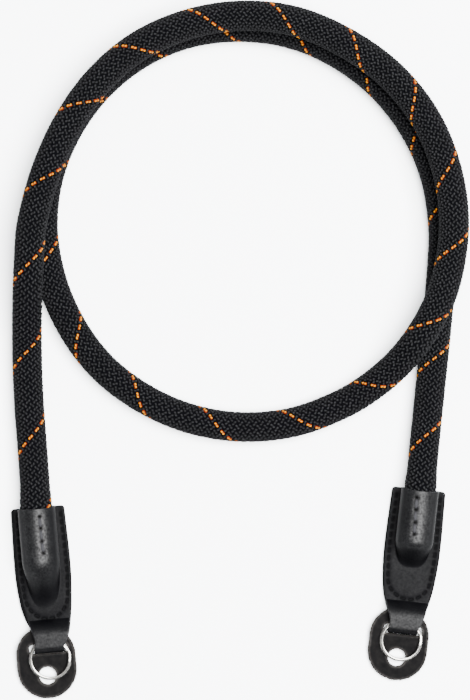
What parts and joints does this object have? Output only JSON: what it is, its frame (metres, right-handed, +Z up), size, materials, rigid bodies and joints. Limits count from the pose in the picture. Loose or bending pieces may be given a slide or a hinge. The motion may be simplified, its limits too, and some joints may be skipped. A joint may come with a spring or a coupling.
{
  "type": "rope camera strap",
  "caption": "Round braided rope strap lying coiled, a leather cap stitched over each end, folded round a flat tab that holds a split ring",
  "frame": {"origin": "the floor point under the middle of the box round both leather ends with their rings and pads", "axes": "+Z up from the floor the strap lies on; +X from the left end to the right end; +Y from the ends towards the coil of rope"},
  "size_m": [0.1611, 0.2454, 0.0209],
  "materials": {
    "braid": "tight round braid of dark charcoal cord with one orange tracer yarn",
    "leather": "smooth black leather, half gloss, sewn with black thread",
    "pad": "matte black suede with rough cut edges",
    "ring": "bright plain steel wire, two flat coils"
  },
  "bodies": {
    "root": {"rope": "braid", "left_leather_end": "leather", "left_split_ring": "ring", "left_ring_pad": "pad", "right_leather_end": "leather", "right_split_ring": "ring", "right_ring_pad": "pad"}
  },
  "joints": []
}
